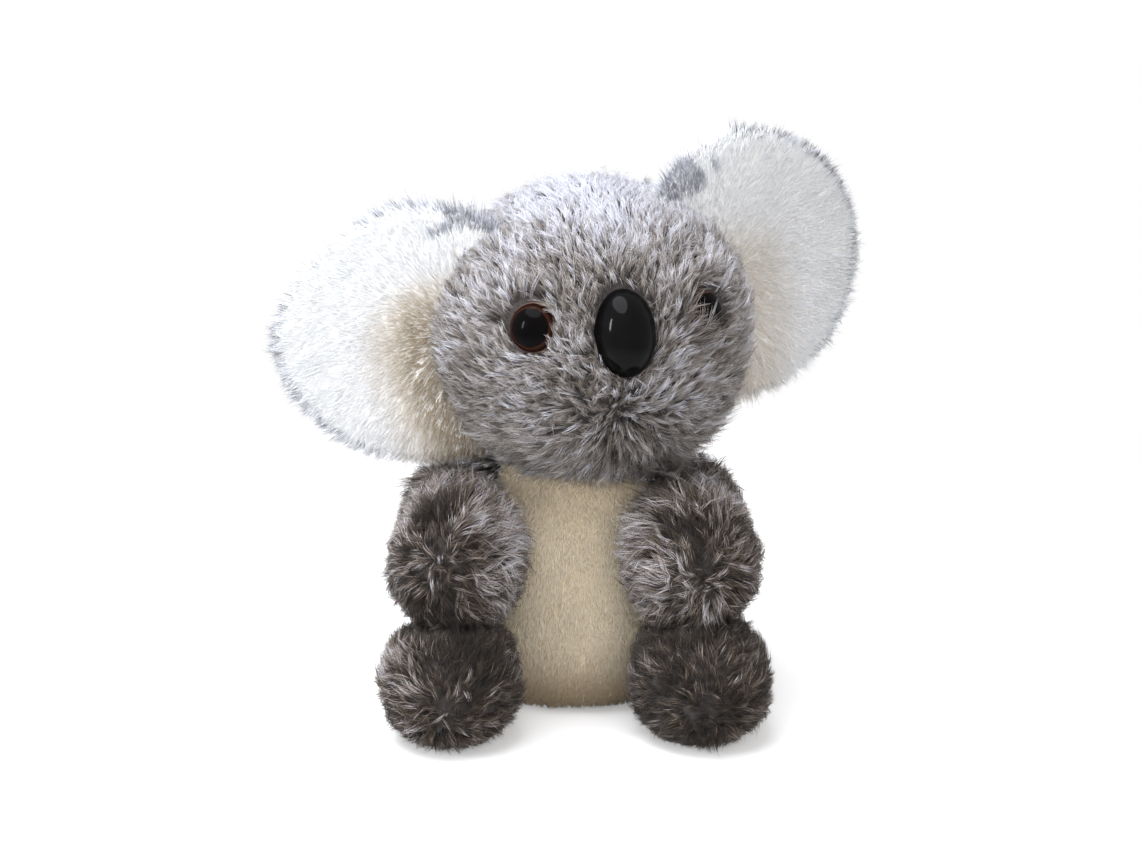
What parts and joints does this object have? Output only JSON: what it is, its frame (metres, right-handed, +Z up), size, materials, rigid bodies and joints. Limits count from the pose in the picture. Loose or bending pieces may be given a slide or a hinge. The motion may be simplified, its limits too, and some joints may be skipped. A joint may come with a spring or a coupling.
{
  "type": "plush koala",
  "caption": "Seated stuffed koala toy with a ball-shaped head, wide fluffy ears, moulded eyes and nose, and limbs that swing on sewn seams.",
  "frame": {"origin": "in the middle of the flat seat, on the surface that the toy sits on", "axes": "+Z up, -Y towards the front, which the belly, paws and feet face, +X towards the toy's own left arm side (named right, as seen from the front)"},
  "size_m": [0.1672, 0.1065, 0.1582],
  "materials": {
    "grey_pile": "long grey pile fabric, dark at the root and pale at the tip",
    "white_pile": "long white pile fabric",
    "cream_pile": "short cream pile fabric",
    "eye_plastic": "black pupil and thin brown iris under a clear polished dome",
    "nose_plastic": "polished black plastic",
    "washer_plastic": "plain moulded plastic",
    "filling": "loose white polyester fibre",
    "bead_cloth": "thin plain-woven cloth bag of plastic beads",
    "thread": "twisted grey sewing thread"
  },
  "bodies": {
    "body": {"belly_panel": "cream_pile", "body_cover_left": "grey_pile", "body_cover_right": "grey_pile", "closing_thread": "thread", "body_filling": "filling", "bead_bag": "bead_cloth"},
    "neck": {"neck_thread": "thread"},
    "head": {"head_crown": "grey_pile", "head_cheek_left": "grey_pile", "head_cheek_right": "grey_pile", "head_filling": "filling", "eye_left": "eye_plastic", "eye_left_washer": "washer_plastic", "eye_right": "eye_plastic", "eye_right_washer": "washer_plastic", "nose": "nose_plastic", "nose_washer": "washer_plastic"},
    "ear_left": {"ear_left_front": "white_pile", "ear_left_back": "grey_pile"},
    "ear_right": {"ear_right_front": "white_pile", "ear_right_back": "grey_pile"},
    "arm_left": {"arm_left_cover": "grey_pile", "arm_left_filling": "filling"},
    "arm_right": {"arm_right_cover": "grey_pile", "arm_right_filling": "filling"},
    "leg_left": {"leg_left_cover": "grey_pile", "leg_left_filling": "filling"},
    "leg_right": {"leg_right_cover": "grey_pile", "leg_right_filling": "filling"}
  },
  "joints": [
    {"name": "head_turn", "type": "hinge", "parent": "body", "child": "neck", "pos_m": [0.0052, -0.003, 0.1044], "axis": [0, 0, 1], "range_deg": [-25, 25], "stiffness_Nm_per_rad": 0.03},
    {"name": "head_nod", "type": "hinge", "parent": "neck", "child": "head", "pos_m": [0.0052, -0.003, 0.1044], "axis": [0.9781, 0.2079, 0], "range_deg": [-8, 10], "stiffness_Nm_per_rad": 0.08},
    {"name": "ear_left_fold", "type": "hinge", "parent": "head", "child": "ear_left", "pos_m": [-0.03709, -0.0079, 0.10541], "axis": [-0.1107, -0.0235, 0.9936], "range_deg": [-10, 20], "stiffness_Nm_per_rad": 0.006},
    {"name": "ear_right_fold", "type": "hinge", "parent": "head", "child": "ear_right", "pos_m": [0.04325, 0.00918, 0.11915], "axis": [0.2117, 0.045, -0.9763], "range_deg": [-10, 20], "stiffness_Nm_per_rad": 0.006},
    {"name": "arm_left_open", "type": "hinge", "parent": "body", "child": "arm_left", "pos_m": [-0.034, -0.004, 0.0525], "axis": [0, 0, -1], "range_deg": [0, 50], "stiffness_Nm_per_rad": 0.008},
    {"name": "arm_right_open", "type": "hinge", "parent": "body", "child": "arm_right", "pos_m": [0.034, -0.004, 0.0525], "axis": [0, 0, 1], "range_deg": [0, 50], "stiffness_Nm_per_rad": 0.008},
    {"name": "leg_left_spread", "type": "hinge", "parent": "body", "child": "leg_left", "pos_m": [-0.029, -0.016, 0.016], "axis": [0, 0, -1], "range_deg": [0, 28], "stiffness_Nm_per_rad": 0.01},
    {"name": "leg_right_spread", "type": "hinge", "parent": "body", "child": "leg_right", "pos_m": [0.029, -0.016, 0.016], "axis": [0, 0, 1], "range_deg": [0, 28], "stiffness_Nm_per_rad": 0.01}
  ]
}
